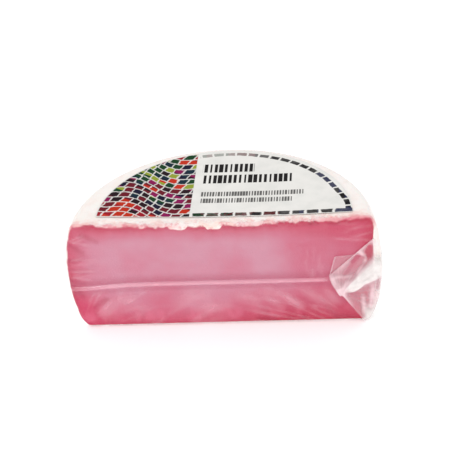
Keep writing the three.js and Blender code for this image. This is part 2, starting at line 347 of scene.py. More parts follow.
class Finish:
    """A material under work."""

    def __init__(self, name):
        self.material = bpy.data.materials.new(name)
        self.material.use_nodes = True
        self.tree = self.material.node_tree
        self.tree.nodes.clear()

    def node(self, kind, settings=None, inputs=None, output=0):
        """Adds a node, sets it up, then fills or links its sockets. Returns one of its outputs, if any."""
        made = self.tree.nodes.new("ShaderNode" + kind)
        for name, value in (settings or {}).items():
            if name == "stops":
                self.set_stops(made.color_ramp, value)
            elif name == "interpolation":
                made.color_ramp.interpolation = value
            else:
                setattr(made, name, value)
        for name, value in (inputs or {}).items():
            if isinstance(value, Wire):
                self.tree.links.new(value.socket, made.inputs[name])
            else:
                made.inputs[name].default_value = value
        return Wire(self, made.outputs[output]) if made.outputs else None

    def set_stops(self, band, stops):
        while len(band.elements) > 1:
            band.elements.remove(band.elements[-1])
        band.elements[0].position, band.elements[0].color = stops[0]
        for position, colour in stops[1:]:
            band.elements.new(position).color = colour

    def place(self):
        """The place on the piece, in millimetres of the part's frame."""
        coordinates = self.node("TexCoord", output="Object")
        return self.node("VectorMath", {"operation": "SCALE"}, {0: coordinates, "Scale": 1 / MM})

    def split(self, vector):
        made = self.node("SeparateXYZ", inputs={0: vector}).socket.node
        return [Wire(self, made.outputs[axis]) for axis in "XYZ"]

    def join(self, x, y, z=0):
        return self.node("CombineXYZ", inputs={"X": x, "Y": y, "Z": z})

    def attribute(self, name):
        return self.node("Attribute", {"attribute_name": name}, output="Fac")

    def grain(self, vector, scale, detail=3, roughness=0.55, stretch=None):
        """Smooth noise from about 0.2 to 0.8, with scale bumps to the millimetre."""
        if stretch:
            vector = self.node("VectorMath", {"operation": "MULTIPLY"}, {0: vector, 1: stretch})
        inputs = {"Vector": vector, "Scale": scale, "Detail": detail, "Roughness": roughness}
        return self.node("TexNoise", inputs=inputs, output="Fac")

    def chance(self, x, y, z=0):
        """A random number from 0 to 1 that belongs to the given whole numbers."""
        return self.node("TexWhiteNoise", {"noise_dimensions": "3D"}, {"Vector": self.join(x, y, z)})

    def blend(self, a, b, factor):
        """Colour a turning to colour b as factor goes from 0 to 1."""
        return self.node("Mix", {"data_type": "RGBA"}, {"Factor": factor, 6: a, 7: b}, output=2)

    def layers(self, colour, *coats):
        """Lays coats (colour, share) over a colour, one after the other."""
        for coat, share in coats:
            colour = self.blend(colour, coat, share)
        return colour

    def pick(self, stops, choice):
        """The colour of the last stop below choice."""
        return self.node("ValToRGB", {"stops": stops, "interpolation": "CONSTANT"}, {"Fac": choice})

    def stroke(self, x, z, start, end, width):
        """1 along a straight line from start to end, thinning out to 0 at its width."""
        across, up = end[0] - start[0], end[1] - start[1]
        share = (((x - start[0]) * across + (z - start[1]) * up) / (across**2 + up**2)).clamped()
        off_x = x - start[0] - share * across
        off_z = z - start[1] - share * up
        return ((off_x * off_x + off_z * off_z) ** 0.5).between(width, 0)

    def bump(self, height, distance, strength):
        return self.node("Bump", inputs={"Height": height, "Distance": distance * MM, "Strength": strength})

    def surface(self, shader):
        self.node("OutputMaterial", inputs={"Surface": shader})
        return self.material


# ---- the form of the wheel ----


def top_height(distance):
    """Height of the dished top at a distance from the wheel's axis."""
    return RIM_HEIGHT - TOP_SAG * (1 - (distance / TOP_RADIUS) ** 2)


def wheel_radius(height):
    """Radius of the wheel at a height: superellipses from the waist up to the top and down to the base."""
    above = height > WAIST_HEIGHT
    reach = RIM_HEIGHT - WAIST_HEIGHT if above else WAIST_HEIGHT
    inset = TOP_INSET if above else BASE_INSET
    roundness = TOP_ROUNDNESS if above else BASE_ROUNDNESS
    share = clamp(abs(height - WAIST_HEIGHT) / reach)
    return WHEEL_RADIUS - inset + inset * (1 - share**roundness) ** (1 / roundness)


def side_outline(count):
    """count + 1 points (radius, height) evenly along the side's outline, from the base up to the rim."""
    fine = []
    for i in range(-OUTLINE_STEPS, OUTLINE_STEPS + 1):
        angle = abs(i) / OUTLINE_STEPS * math.pi / 2
        roundness = BASE_ROUNDNESS if i < 0 else TOP_ROUNDNESS
        reach = -WAIST_HEIGHT if i < 0 else RIM_HEIGHT - WAIST_HEIGHT
        inset = BASE_INSET if i < 0 else TOP_INSET
        out = max(0, math.cos(angle)) ** (2 / roundness)
        up = math.sin(angle) ** (2 / roundness)
        fine.append((WHEEL_RADIUS - inset + inset * out, WAIST_HEIGHT + reach * up))
    lengths = [0]
    for a, b in zip(fine, fine[1:]):
        lengths.append(lengths[-1] + math.dist(a, b))
    points, k = [], 0
    for i in range(count + 1):
        wanted = lengths[-1] * i / count
        while k < len(fine) - 2 and lengths[k + 1] < wanted:
            k += 1
        share = (wanted - lengths[k]) / (lengths[k + 1] - lengths[k])
        points.append([mix(a, b, share) for a, b in zip(fine[k], fine[k + 1])])
    return points


def crease_line(x):
    """Height of the long crease at a place along the cut: it droops to the left."""
    return CREASE_HEIGHT - CREASE_DROOP * (1 - ramp(x, -WHEEL_RADIUS, CREASE_DROOP_START))


def crease_section(above):
    """Share of the crease's rise at a height above its line: a pleat with a shallow groove above it."""
    pleat = 1 - ramp(abs(above), *CREASE_PLEAT)
    groove = math.exp(-(((above - GROOVE_HEIGHT) / GROOVE_WIDTH) ** 2))
    return pleat - GROOVE_SHARE * groove


def side_swell(angle, height):
    """Uneven swell of the side, none where it meets the cut, the top or the base."""
    fade = math.sqrt(max(0, math.sin(angle))) * math.sin(math.pi * height / RIM_HEIGHT)
    waves = math.sin(7 * angle + 0.09 * height) + math.sin(12 * angle - 0.13 * height + 1.3)
    return SIDE_SWELL * fade * waves


def crumbs(x, behind):
    """Uneven height of the rind along the top of the cut."""
    waves = math.sin(0.21 * x + 1) + math.sin(0.52 * x + 0.7 * behind)
    waves += 0.5 * math.sin(0.33 * x - 0.9 * behind)
    grain = noise.noise(Vector((0.45 * x, 0.45 * behind, 3.1)))
    grain += 0.6 * noise.noise(Vector((1.1 * x, 1.1 * behind, 7)))
    fade = 1 - ramp(behind, *CRUMB_FADE)
    inset = 1 - ramp(abs(x), *CRUMB_END)
    return fade * inset * (CRUMB_WAVES * waves + CRUMB_GRAIN * grain)


def slow_relief(x, z):
    """Slight unevenness of the cut face itself."""
    broad = 0.22 * noise.noise(Vector((0.05 * x, 0.06 * z, 2.3)))
    return broad + 0.1 * noise.noise(Vector((0.12 * x, 0.14 * z, 9.1)))


def left_fullness(z):
    """How much fuller the left end of the cut is than the round wheel: near its foot and above its waist."""
    foot = FOOT_FULLNESS * (1 - ramp(z, 0, FOOT_TOP))
    return foot + SHOULDER_FULLNESS * math.exp(-(((z - SHOULDER_HEIGHT) / SHOULDER_SPREAD) ** 2))


def block(name, columns, depth_rows, levels):
    """A closed block of quads, 2 wide, 1 deep and 1 high: a grid that is extruded up and cut into levels."""
    piece = grid(name, columns, depth_rows, size=2)
    start_edit(piece)
    bpy.ops.mesh.select_all(action="SELECT")
    bpy.ops.transform.resize(value=(1, 0.5, 1))
    bpy.ops.transform.translate(value=(0, 0.5, 0))
    bpy.ops.mesh.extrude_region_move(TRANSFORM_OT_translate={"value": (0, 0, 1)})
    if levels > 1:
        bpy.ops.mesh.select_mode(type="EDGE")
        bpy.ops.mesh.select_all(action="DESELECT")
        end_edit()
        corners = piece.data.vertices
        for edge in piece.data.edges:
            low, high = (corners[k].co.z for k in edge.vertices)
            edge.select = abs(high - low) > 0.5
        start_edit(piece)
        bpy.ops.mesh.subdivide_edgering(number_cuts=levels - 1, interpolation="LINEAR", smoothness=0)
    bpy.ops.mesh.select_all(action="SELECT")
    bpy.ops.mesh.normals_make_consistent(inside=False)
    end_edit()
    return piece


def wheel_form(piece, levels, gap, relief, side_relief):
    """Shapes a block into the half wheel, gap inside the film's form.

    relief(x, z) is what stands off the cut and side_relief(angle, z) what stands off the side. The depth that
    it stores is how far inside the edges of the cut a point is, and 0 off the cut.
    """
    outline = side_outline(levels)
    depths = []
    for vertex in piece.data.vertices:
        u, v, w = vertex.co
        radius, level = outline[round(w * levels)]
        radius -= gap
        x = radius * u * math.sqrt(1 - v * v / 2)
        y = radius * v * math.sqrt(1 - u * u / 2)
        share = math.sqrt(u * u + v * v - u * u * v * v)
        top = top_height(share * TOP_RADIUS) - gap
        if v < CRUMB_DEPTH:
            top += crumbs(x, y)
        crease = crease_line(x)
        if level >= CREASE_HEIGHT:
            z = mix(crease, top, (level - CREASE_HEIGHT) / (RIM_HEIGHT - CREASE_HEIGHT))
        else:
            z = mix(gap, crease, level / CREASE_HEIGHT)
        depth = 0
        if v < ON_CUT:
            depth = min((1 - abs(u)) * radius, top - z, z - gap)
            rounding = CUT_ROUNDING * clamp(1 - depth / CUT_ROUNDING) ** 2
            y = gap + rounding - relief(x, z) * ramp(depth, 0, RELIEF_START)
        else:
            if share > ON_SIDE and w > 0:
                out = 1 + side_relief(math.atan2(y, x), z) / radius
                x, y = x * out, y * out
            y += gap + (CUT_ROUNDING - gap) * clamp(1 - y / CUT_ROUNDING_REACH)
        x -= left_fullness(z) * ramp(-u, FULLNESS_START, 1) * (1 - ramp(y, *FULLNESS_FADE))
        depths.append(depth)
        vertex.co = to_frame(x, y, z)
    store(piece, "depth", depths)


# ---- folds of the film ----


def nearest(place, start, end):
    """Share of the way along a line, and distance from it, of the point nearest to a place."""
    along = (end[0] - start[0], end[1] - start[1])
    off = (place[0] - start[0], place[1] - start[1])
    share = clamp((along[0] * off[0] + along[1] * off[1]) / (along[0] ** 2 + along[1] ** 2))
    return share, math.dist(off, (along[0] * share, along[1] * share))


def fold(place, start, end, width, fade=1):
    """How much of a straight fold is at a place: 1 along its line, thinning out to its sides and its ends."""
    share, off = nearest(place, start, end)
    if off > 2.5 * width:
        return 0
    return math.exp(-((off / width) ** 2)) * (1 - fade * abs(2 * share - 1) ** 4)


PLEAT_SEED = 11
# Groups of pleats: how many, where they start in x and z, how far they run in x and z, width and rise.
PLEAT_GROUPS = (
    (9, (52, 69), (32, 46), (-1.5, 1.5), (6, 14), 0.8, (0.1, 0.25)),  # upright, beside the ear
    (12, (-98, -95), (36, 72), (6, 18), (-5, 5), 0.9, (0.15, 0.35)),  # drawn in from the left end
    (7, (86, 96), (58, 74), (-10, -24), (-6, 3), 0.9, (0.1, 0.25)),  # and from the right end above the ear
)


def end_pleats():
    """Short pleats of the film at the ends of the cut and beside the ear: (start, end, width, rise)."""
    draw = random.Random(PLEAT_SEED)
    pleats = []
    for count, start_x, start_z, reach_x, reach_z, width, rise in PLEAT_GROUPS:
        for _ in range(count):
            x, z = draw.uniform(*start_x), draw.uniform(*start_z)
            end = (x + draw.uniform(*reach_x), z + draw.uniform(*reach_z))
            pleats.append(((x, z), end, width, draw.uniform(*rise)))
    return pleats


# Broad soft strokes where the film is drawn below the long crease: start, end, width and milkiness.
DRAWN_STROKES = (
    ((-83, 7), (-70, 20), 4.2, 0.3),
    ((-70, 20), (-57, 22), 3.8, 0.3),
    ((-30, 23), (-4, 21), 3.2, 0.13),
    ((-24, 12.5), (6, 14.5), 3.2, 0.24),
    ((6, 24), (25, 16), 3.2, 0.2),
    ((24, 23), (38, 10), 2.8, 0.22),
    ((33, 25), (51, 11), 2.8, 0.45),
    ((47, 27.5), (70, 11.5), 3.6, 0.28),
    ((62, 28), (74, 12), 3.0, 0.28),
)
PLEATS = end_pleats()
LEFT_FAN = (-102, -14)  # where the tension lines of each side run together, below its foot
RIGHT_FAN = (102, -12)
LEFT_FAN_SEED = 2.5
RIGHT_FAN_SEED = 6.5
SIDE_BAND = 1.5  # the film counts as its side no further in than this, and below SIDE_TOP
SIDE_TOP = 70
TENSION_RISE = 0.32
STROKE_RISE = 0.1
SIDE_LINE_RISE = 0.25


def drawn_milk(x, z):
    """Milkiness of the broad strokes, which taper to their ends."""
    milk = 0
    for start, end, width, most in DRAWN_STROKES:
        share, off = nearest((x, z), start, end)
        milk += most * math.exp(-((off / width) ** 2)) * (1 - (2 * share - 1) ** 2)
    return milk


def tension_fan(x, z, corner, seed):
    """Uneven tension lines that fan out over the lower half from a foot of the cut: 1 on them, 0 between."""
    away = math.dist((x, z), corner)
    turn = math.atan2(z - corner[1], abs(x - corner[0]))
    fade = ramp(away, 22, 48) * (1 - ramp(away, 70, 120)) * (1 - ramp(z - crease_line(x), -5, -1.5))
    if fade == 0:
        return 0
    lines = noise.noise(Vector((10 * turn, 0.03 * away, seed)))
    strength = 0.55 + noise.noise(Vector((5 * turn, 0.05 * away, seed + 4)))
    return ramp(1 - abs(lines) / 0.26, 0, 1) * clamp(strength) * fade


def tension_lines(x, z):
    """The fans from both feet of the cut, and a few faint level lines above the crease."""
    fans = tension_fan(x, z, LEFT_FAN, LEFT_FAN_SEED) + tension_fan(x, z, RIGHT_FAN, RIGHT_FAN_SEED)
    above = 0.5 * clamp(1 - abs(noise.noise(Vector((0.02 * x, 0.13 * z, 4.7)))) / 0.05) * ramp(z, 40, 50)
    return fans + above * (1 - ramp(abs(x), 60, 90)) * 0.35


def cut_relief(x, z):
    """How far the film stands off the cut face."""
    rise = CREASE_RISE * crease_section(z - crease_line(x)) * (1 - ramp(x, *CREASE_END))
    rise += TENSION_RISE * tension_lines(x, z)
    for start, end, width, height in PLEATS:
        rise += height * fold((x, z), start, end, width)
    return rise + STROKE_RISE * drawn_milk(x, z) + slow_relief(x, z)


def side_lines(angle, z):
    """Fine uneven lines of the drawn film round the side, above and below its seam."""
    off = z - CREASE_HEIGHT
    lines = noise.noise(Vector((13 * angle + 0.03 * abs(off), 0.025 * off, 3.9)))
    strength = 0.4 + 1.2 * noise.noise(Vector((3 * angle, 0.04 * off, 6.1)))
    near_seam = (1 - ramp(abs(off), 6, 34)) * ramp(abs(off), 0.8, 2)
    return clamp(1 - abs(lines) / 0.2) * clamp(strength) * near_seam * math.sin(angle)


def film_side(angle, z):
    """How far the film stands off the side of the wheel."""
    above = z - crease_line(WHEEL_RADIUS * math.cos(angle))
    seam = CREASE_RISE_BACK * crease_section(above) * math.sin(angle)
    return side_swell(angle, z) + seam + SIDE_LINE_RISE * side_lines(angle, z)


def film_haze(x, z):
    """How milky the film is on the cut face: along the crease, the tension lines and the pleats."""
    haze = 0.46 * (1 - ramp(abs(z - crease_line(x)), 0.8, 1.9)) * (1 - ramp(x, *CREASE_END))
    haze *= 1 - 0.45 * ramp(-x, 72, 94)
    haze += 0.25 * tension_lines(x, z)
    for start, end, width, height in PLEATS:
        haze += 0.6 * height * fold((x, z), start, end, 0.9 * width)
    return clamp(haze + 0.9 * drawn_milk(x, z), 0, 0.5)


def side_haze(x, behind, z):
    """How milky the film is round the side: along the seam and its fine lines."""
    seam = 1 - ramp(abs(z - crease_line(x)), 0.6, 1.5)
    return 0.3 * seam + 0.3 * side_lines(math.atan2(behind, x), z)


def film_shell():
    """The film drawn tight over the cheese."""
    piece = block("film", *FILM_STEPS)
    wheel_form(piece, FILM_STEPS[-1], 0, cut_relief, film_side)
    hazes = []
    for vertex, depth in zip(piece.data.vertices, piece.data.attributes["depth"].data):
        x, y, z = vertex.co / MM
        behind = y - CUT_Y
        on_side = math.hypot(x, behind) > wheel_radius(z) - SIDE_BAND and z < SIDE_TOP
        if depth.value > 0:
            hazes.append(film_haze(x, z) * ramp(depth.value, 0, 1.5))
        else:
            hazes.append(side_haze(x, behind, z) if on_side else 0)
    store(piece, "haze", hazes)
    smooth(piece)
    return piece


def curve_place(before, start, end, after, t):
    """A place on a smooth curve, at share t of the way from start to end, with the points on either side."""
    return [
        0.5 * (2 * b + (c - a) * t + (2 * a - 5 * b + 4 * c - d) * t * t + (3 * b - a - 3 * c + d) * t**3)
        for a, b, c, d in zip(before, start, end, after)
    ]


def ear_outline():
    """Points (x, z) round the ear: from its foot up the bulge to the top, then the tip and past the knot."""
    points = []
    spans = len(EAR_BULGE) - 1
    for i in range(EAR_BULGE_RAYS):
        span, t = divmod(i * spans / EAR_BULGE_RAYS, 1)
        near = [EAR_BULGE[int(clamp(span + step, 0, spans))] for step in (-1, 0, 1, 2)]
        points.append(curve_place(*near, t))
    edge_steps = EAR_RAYS - EAR_BULGE_RAYS - len(EAR_LEFT)
    for i in range(edge_steps + 1):
        points.append([mix(EAR_TOP[n], EAR_TIP[n], i / edge_steps) for n in (0, 1)])
    return points + list(EAR_LEFT)


# Radial folds of the ear: direction from the knot and half width in degrees, and rise in millimetres.
EAR_FOLDS = (
    (118, 20, 1.0),
    (84, 14, 0.7),
    (62, 9, 1.2),
    (40, 18, 4.0),
    (14, 8, 1.0),
    (-6, 9, 1.5),
    (-27, 9, 1.2),
    (-55, 13, 1.2),
)
# Sharp creases of the ear: start, end, width, rise and milkiness.
EAR_CREASES = (
    ((71, 39.8), (84, 52.8), 1.8, 0.4, 0.25),
    ((84, 53.4), (94.5, 62.6), 2.3, 0.4, 0.62),
    ((67.6, 35.5), (72.6, 23.8), 2.2, 0.5, 0.4),
    ((84.4, 36), (87.4, 43), 1.8, 0.2, 0.3),
    ((73, 23.4), (80.4, 31.5), 2.0, 0.5, 0.55),
    ((75, 21.5), (80, 13), 1.6, 0.4, 0.42),
    ((80, 13), (88.2, 3), 1.5, 0.3, 0.08),
    ((80, 33), (81.5, 43), 1.8, 0.2, 0.12),
    ((69, 34.5), (82, 35.5), 1.2, 0.3, 0.25),
    ((88, 20.5), (88.4, 8), 1.5, 0.6, 0.55),
    ((94.3, 28), (92.8, 12), 1.6, 0.7, 0.7),
    ((97.5, 26), (95.2, 13), 1.0, 0.4, 0.3),
    ((85.4, 53), (91.4, 51.2), 1.5, 0.8, 0.6),
    ((90.6, 51), (89, 46.5), 1.2, 0.6, 0.5),
    ((76, 24.2), (98.8, 33.4), 1.6, 0.6, 0.5),
    ((95.5, 62), (95.8, 50), 1.2, 0.4, 0.6),
)
# Clear pockets between the folds of the ear: start, end, width and what they take off its milkiness.
EAR_POCKETS = (
    ((92.6, 57.5), (92, 52.5), 2.4, 0.5),
    ((91.6, 52.5), (91.2, 50), 1.8, 0.35),
    ((85.4, 51), (82, 46.4), 1.6, 0.35),
    ((80.5, 42.4), (77, 37.8), 2.2, 0.2),
    ((97.8, 35), (97.4, 25), 1.3, 0.45),
)


def ear_streak(degrees, share):
    """Fine uneven streaks that radiate from the knot, from about -1 to 1."""
    broad = noise.noise(Vector((0.16 * degrees, 1.5 * share, 1.7)))
    return (broad + 0.7 * noise.noise(Vector((0.42 * degrees, 2.5 * share, 8.2)))) * ramp(share, 0.05, 0.3)


def knot_angle(x, z):
    """Direction of a place from the knot, in degrees above the x axis."""
    return math.degrees(math.atan2(z - KNOT[1], x - KNOT[0]))


def ear_rise(place, share):
    """How far the ear stands off the cut, at a share of the way out from the knot."""
    degrees = knot_angle(*place)
    rise = EAR_THICKNESS + KNOT_RISE * clamp(1 - math.dist(place, KNOT) / KNOT_RADIUS) ** 2
    for toward, spread, height in EAR_FOLDS:
        off = clamp((degrees - toward) / spread, -1, 1)
        rise += height * math.cos(off * math.pi / 2) ** 2 * share * (1 - 0.8 * share**4)
    for start, end, width, height, _ in EAR_CREASES:
        rise += height * fold(place, start, end, width, 0.6)
    return rise + 0.25 * ear_streak(degrees, share)


def ear_band(x, z):
    """The broad white band of the ear, out from the knot to the right: 1 inside it."""
    away = math.dist((x, z), KNOT)
    degrees = knot_angle(x, z)
    lower_side = mix(24, 6, ramp(-away, -18, -6))
    return ramp(degrees, lower_side - 1.5, lower_side + 2.5) * (1 - ramp(degrees, 47, 55)) * ramp(away, 2, 8)


def ear_foot(x, z):
    """The white foot of the ear, where its folds run together at the lower right: 1 inside it."""
    return ramp(x, 86, 91) * (1 - ramp(z, 6, 17))


def ear_haze(place, share):
    """How milky the ear is: most along the band and the creases, least in the pockets between them."""
    x, z = place
    away = math.dist(place, KNOT)
    haze = 0.25 + 0.6 * ear_band(x, z) + 0.1 * ear_streak(knot_angle(x, z), share)
    haze += 0.16 * (1 - ramp(x, 72, 84)) + 0.5 * clamp(1.3 - away / 3.5)
    for start, end, width, _, milk in EAR_CREASES:
        haze += 0.8 * milk * fold(place, start, end, width, 0.5)
    haze += 0.6 * ramp(x, 94, 97) * ramp(z, 32, 40)
    haze += 0.5 * ear_foot(x, z)
    for start, end, width, clear in EAR_POCKETS:
        haze -= clear * fold(place, start, end, width, 0)
    return clamp(haze, 0.04, 0.93) * (1 - ramp(x, 94, 96.5) * ramp(z, 43, 53))


def ear_whiteness(x, z):
    """Where the ear is too thick for the pink paste to tint it: 1 there."""
    return max(ear_band(x, z), ear_foot(x, z), ramp(x, 93.5, 96) * ramp(z, 32, 42))


def side_place(behind, z):
    """x of the film's right side at a place behind the cut and a height."""
    reach = wheel_radius(z)
    back = behind
    if behind < CUT_ROUNDING_REACH:
        back = max(0, (behind - CUT_ROUNDING) / (1 - CUT_ROUNDING / CUT_ROUNDING_REACH))
    reach += film_side(math.asin(back / reach), z)
    return math.sqrt(reach**2 - back**2)


def ear_folds():
    """The folds of the ear: a fan of pleats from the knot, whose right edge wraps back round the side."""
    outline = ear_outline()
    all_rings = EAR_RINGS + EAR_WRAP_RINGS
    piece = grid("film_ear", EAR_RAYS, all_rings)
    hazes, whites = [], []
    for vertex in piece.data.vertices:
        ring = round((vertex.co.y + 0.5) * all_rings)
        edge = outline[round((vertex.co.x + 0.5) * EAR_RAYS)]
        share = min(1, ring / EAR_RINGS)
        place = [mix(KNOT[n], edge[n], share) for n in (0, 1)]
        x, y, z = place[0], -ear_rise(place, share), place[1]
        haze = ear_haze(place, share)
        if ring > EAR_RINGS:
            turn = (ring - EAR_RINGS) / EAR_WRAP_RINGS
            reach = ramp(edge[0] - wheel_radius(z), *EAR_WRAP_START)
            y = mix(y, EAR_WRAP * reach, turn)
            beside = side_place(max(0, y), z) + EAR_WRAP_GAP * (2 - turn)
            x = mix(edge[0], beside, ramp(turn, 0, 0.25) * reach)
            haze *= (1 - turn) ** 1.3
        hazes.append(haze)
        whites.append(ear_whiteness(*place))
        vertex.co = to_frame(x, y, z)
    store(piece, "haze", hazes)
    store(piece, "whiteness", whites)
    weld(piece)
    face_out(piece)
    smooth(piece)
    return piece


def ear_layer():
    """The thin outer layer of the ear, a flat triangle of film above the folded edge."""
    piece = grid("film_ear_layer", LAYER_STEPS, LAYER_STEPS)
    top_left, top_right, low = LAYER_CORNERS
    hazes = []
    for vertex in piece.data.vertices:
        across, up = vertex.co.x + 0.5, vertex.co.y + 0.5
        place = [mix(low[n], mix(top_left[n], top_right[n], across), up) for n in (0, 1)]
        left = fold(place, low, top_left, LAYER_HEM, 0)
        upper = fold(place, top_left, top_right, LAYER_HEM, 0)
        hazes.append(clamp(0.19 + 0.36 * left + 0.2 * upper))
        vertex.co = to_frame(place[0], -LAYER_GAP - 0.5 * left - 0.35 * upper, place[1])
    store(piece, "haze", hazes)
    weld(piece)
    smooth(piece)
    return piece


def cheese_body():
    """The half wheel of cheese, just inside the film."""
    piece = block("cheese", *CHEESE_STEPS)
    wheel_form(piece, CHEESE_STEPS[-1], FILM_GAP, slow_relief, side_swell)
    smooth(piece)
    return piece


def paper_label():
    """The half-round label, lying along the dished top."""
    piece = block("paper_label", *LABEL_STEPS)
    for vertex in piece.data.vertices:
        u, v, w = vertex.co
        reach = u * math.sqrt(1 - v * v / 2), v * math.sqrt(1 - u * u / 2)
        across, back = (LABEL_RADIUS * n for n in reach)
        x = LABEL_CENTRE[0] + across * math.cos(LABEL_TURN) - back * math.sin(LABEL_TURN)
        y = LABEL_CENTRE[1] + across * math.sin(LABEL_TURN) + back * math.cos(LABEL_TURN)
        rise = LABEL_SWELL * (1 + noise.noise(Vector((0.05 * x, 0.05 * y, 5))))
        z = top_height(math.hypot(x, y)) + LABEL_GAP + rise + w * LABEL_THICKNESS
        vertex.co = to_frame(x, y, z)
    smooth(piece, LABEL_SMOOTH_ANGLE)
    return piece


# ---- finishes ----


# Darker strokes on the paste of the cut: start, end, width and darkness.
DARK_STROKES = (
    ((-86, 16), (-77.5, 21.5), 3.4, 0.45),
    ((-96.5, 28), (-92, 24.5), 3, 0.45),
    ((-88.7, 70.5), (-79.7, 65.7), 3.2, 0.3),
    ((-93.5, 60.5), (-89, 57.5), 3.2, 0.3),
    ((21, 3), (30, 3), 4, 0.6),
    ((40, 4), (50, 4.5), 3, 0.4),
    ((66, 11), (71.5, 3), 3.6, 0.55),
    ((73, 4), (82, 3), 3, 0.45),
)


def paste_colour(f, place, depth, cloud, fine):
    """Lilac pink in the middle, warmer below the crease and crimson near the outside, with painted shade
    along both sides of the crease.
    """
    x, _, z = f.split(place)
    low = z.between(36, 4)
    left = x.between(-52, -88)
    right = x.between(22, 84)
    corner = x.between(-25, 60) * z.between(20, 0)
    upper_left = x.between(-84, -93) * z.between(34, 48)
    warmth = low * 0.85 + left * 0.5 + right * 0.72 + x.between(-30, 20) * 0.15 + (cloud - 0.5) * 1.6
    soaked = (depth + 12 * (cloud - 0.5) - 6 * right).between(14, 0)
    rim = (depth + 4 * (cloud - 0.5)).between(5, 0) * (1 - upper_left * 0.7)
    pink = f.blend(tone(203, 142, 161), tone(201, 90, 118), warmth.clamped())
    pink = f.layers(
        pink,
        (tone(172, 62, 88), right * 0.16),
        (tone(172, 46, 76), low * x.between(-10, 50) * 0.34),
        (tone(195, 60, 91), soaked * 0.75),
        (tone(182, 38, 68), (rim * 0.7 + corner * 0.55 + right * rim * 0.3).clamped()),
    )
    ragged_x, ragged_z = x + 5 * (cloud - 0.5), z + 4 * (fine - 0.5)
    for start, end, width, dark in DARK_STROKES:
        pink = f.blend(pink, tone(164, 34, 64), f.stroke(ragged_x, ragged_z, start, end, width) * dark)
    streaks = f.grain(place, 0.2, 2, stretch=(0.3, 1, 1)).between(0.46, 0.66)
    flames = f.grain(place, 0.16, 3, stretch=(1, 1, 0.4)).between(0.45, 0.6)
    flame_share = flames * z.between(16, 8) * z.between(2, 6) * (0.4 - corner * 0.3)
    # Painted shade: the paste is darkened in bands along both sides of the film's crease, where the pleat
    # shades it.
    above = z + x.between(CREASE_DROOP_START, -WHEEL_RADIUS) * CREASE_DROOP - CREASE_HEIGHT
    crease_shade_above = above.between(0.8, 2) * above.between(9, 2.4)
    crease_shade_below = above.between(-1.6, -3) * above.between(-6.4, -4.2)
    return f.layers(
        pink,
        (tone(170, 48, 82), streaks * x.between(-78, -96) * 0.5),
        (tone(204, 44, 92), x.between(-76, -90) * z.between(32, 14) * 0.6),
        (tone(222, 120, 146), flame_share),
        (tone(184, 34, 66), x.between(86, 95) * z.between(40, 52) * 0.6),
        # painted shade along both sides of the crease
        (tone(176, 80, 106), crease_shade_above * 0.5 + crease_shade_below * 0.32),
        (tone(240, 190, 202), fine.between(0.6, 0.8) * 0.18),
    )


def rind_edge(f, place, depth):
    """How far inside the rind's ragged lower edge a place on the cut is: wider at the right end."""
    x, _, z = f.split(place)
    right_end = x.between(91, 96) * z.between(78, 56)
    ragged = 3.4 * (f.grain(place, 0.06, 2) - 0.5) + 1.8 * (f.grain(place, 0.3, 4, 0.7) - 0.5)
    hanging = x.between(-34, -31) * x.between(-20, -23) + x.between(-11, -8) * x.between(2, -1)
    return depth - 4 * right_end + ragged + z.between(48, 38) - 2 * hanging * z.between(68, 73)


def rind_colour(f, place):
    """Cream white, with peach and pink specks and stains near the cut."""
    x, y, z = f.split(place)
    behind = y - CUT_Y
    warm = f.grain(place, 0.1, 4, 0.6).between(0.42, 0.68)
    near_cut = behind.between(13, 0) * z.between(68, 75)
    blush = f.grain(place, 0.09, 3, 0.6).between(0.4, 0.62)
    specks = f.grain(place, 0.2, 5, 0.7).between(0.5, 0.64)
    ends = x.between(-2, 18) * 0.45 + x.between(50, 84) * 0.4 + x.between(-12, -40) * 0.45
    stained = behind.between(5 + blush * 2, 0.5) * z.between(70, 76) * (ends + specks * 0.3)
    return f.layers(
        f.blend(tone(250, 247, 242), tone(247, 236, 228), warm * 0.6),
        (tone(251, 206, 192), near_cut * (blush * 0.6 + x.between(22, 84) * 0.25)),
        (tone(228, 134, 144), specks * near_cut * 0.4),
        (tone(222, 116, 136), stained),
    )


def cheese_finish():
    """Pink paste under a thin pale rind."""
    f = Finish("paste_and_rind")
    place = f.place()
    x, y, z = f.split(place)
    depth = f.attribute("depth")
    cloud = f.grain(place, 0.035, 4)
    fine = f.grain(place, 0.5, 4)
    pink = paste_colour(f, place, depth, cloud, fine)
    edge = rind_edge(f, place, depth)
    crumbled = f.grain(place, 0.22, 4, 0.7).between(0.5, 0.64) * edge.between(5, 1.8) * z.between(64, 70)
    rind_share = edge.between(1.6, 0.4).most(depth.between(0.35, 0.05))
    # Painted shadow of the ear's folded film: a grey-pink stroke on the rind at the right end of the cut.
    ear_fold_shadow = f.stroke(y - CUT_Y, z + 4 * (fine - 0.5), (0, 36), (0, 26), 6) * x.between(94, 97)
    colour = f.layers(
        pink,
        (tone(150, 40, 62), crumbled * x.between(-8, 16) * 0.5),
        (rind_colour(f, place), rind_share),
        # painted shadow of the ear's fold on the rind
        (tone(190, 124, 142), ear_fold_shadow * (cloud * 0.8 + 0.35)),
    )
    height = f.grain(place, 0.8, 5, 0.65) + rind_share * f.grain(place, 0.3, 5, 0.7) * 1.5
    shader = f.node(
        "BsdfPrincipled",
        inputs={
            "Base Color": colour,
            "Roughness": f.grain(place, 0.9, 4) * 0.25 + 0.45,
            "Specular IOR Level": 0.25,
            "Subsurface Weight": 0.12,
            "Subsurface Radius": (0.003, 0.0015, 0.0012),
            "Subsurface Scale": 1.0,
            "Normal": f.bump(height, 0.35, 0.6),
        },
    )
    return f.surface(shader)


